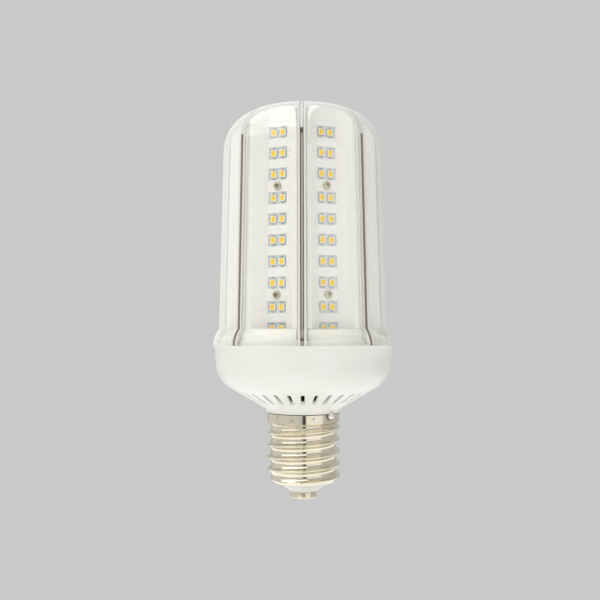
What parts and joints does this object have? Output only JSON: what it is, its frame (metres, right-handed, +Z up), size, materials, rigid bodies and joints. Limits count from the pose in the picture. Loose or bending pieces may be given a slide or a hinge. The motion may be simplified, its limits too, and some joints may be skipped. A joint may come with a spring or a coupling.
{
  "type": "street light bulb",
  "caption": "LED street light bulb: clear petal covers over LED boards round a cast core, a vented white housing and a large screw cap.",
  "frame": {"origin": "centre of the centre contact's lower face", "axes": "+Z up the lamp's axis from the cap to the crown of the covers; -Y towards the camera, through the seam between two covers; +X to the picture's right"},
  "size_m": [0.0966, 0.0966, 0.2087],
  "materials": {
    "clear_plastic": "clear moulded polycarbonate, polished",
    "reflector_white": "glossy white moulding",
    "board_mask": "grey-blue board with pale copper pads",
    "led_white": "white moulded package",
    "phosphor": "yellow phosphor filling",
    "cast_aluminium": "as cast, matt",
    "base_white": "white moulding",
    "housing_white": "white moulding, half gloss",
    "nickel": "nickel plated, bright",
    "insulator_white": "white moulding",
    "solder": "bright solder",
    "screw_steel": "zinc plated",
    "driver_green": "green lacquered board",
    "ferrite": "dark ferrite",
    "winding_tape": "yellow tape",
    "capacitor_sleeve": "dark sleeve",
    "dark_moulding": "black moulding",
    "fuse_glass": "glass tube with plated caps",
    "lead_red": "silicone insulation",
    "lead_white": "silicone insulation"
  },
  "bodies": {
    "root": {"base_plate": "base_white", "board_screws": "screw_steel", "bridge_rectifier": "dark_moulding", "centre_contact": "nickel", "clear_cover_1": "clear_plastic", "clear_cover_2": "clear_plastic", "clear_cover_3": "clear_plastic", "clear_cover_4": "clear_plastic", "clear_cover_5": "clear_plastic", "clear_cover_6": "clear_plastic", "clear_cover_7": "clear_plastic", "clear_cover_8": "clear_plastic", "contact_lead": "lead_red", "driver_board": "driver_green", "heat_core": "cast_aluminium", "housing": "housing_white", "housing_screws": "screw_steel", "insulator": "insulator_white", "led_board_1": "board_mask", "led_board_2": "board_mask", "led_board_3": "board_mask", "led_board_4": "board_mask", "led_board_5": "board_mask", "led_board_6": "board_mask", "led_board_7": "board_mask", "led_board_8": "board_mask", "led_leads": "lead_white", "led_packages_1": "led_white", "led_packages_2": "led_white", "led_packages_3": "led_white", "led_packages_4": "led_white", "led_packages_5": "led_white", "led_packages_6": "led_white", "led_packages_7": "led_white", "led_packages_8": "led_white", "led_phosphors_1": "phosphor", "led_phosphors_2": "phosphor", "led_phosphors_3": "phosphor", "led_phosphors_4": "phosphor", "led_phosphors_5": "phosphor", "led_phosphors_6": "phosphor", "led_phosphors_7": "phosphor", "led_phosphors_8": "phosphor", "line_choke": "ferrite", "line_fuse": "fuse_glass", "reflector_1": "reflector_white", "reflector_2": "reflector_white", "reflector_3": "reflector_white", "reflector_4": "reflector_white", "reflector_5": "reflector_white", "reflector_6": "reflector_white", "reflector_7": "reflector_white", "reflector_8": "reflector_white", "screw_shell": "nickel", "shell_lead": "lead_white", "side_solder": "solder", "smoothing_capacitors": "capacitor_sleeve", "top_retainer": "base_white", "transformer_core": "ferrite", "transformer_winding": "winding_tape"}
  },
  "joints": []
}
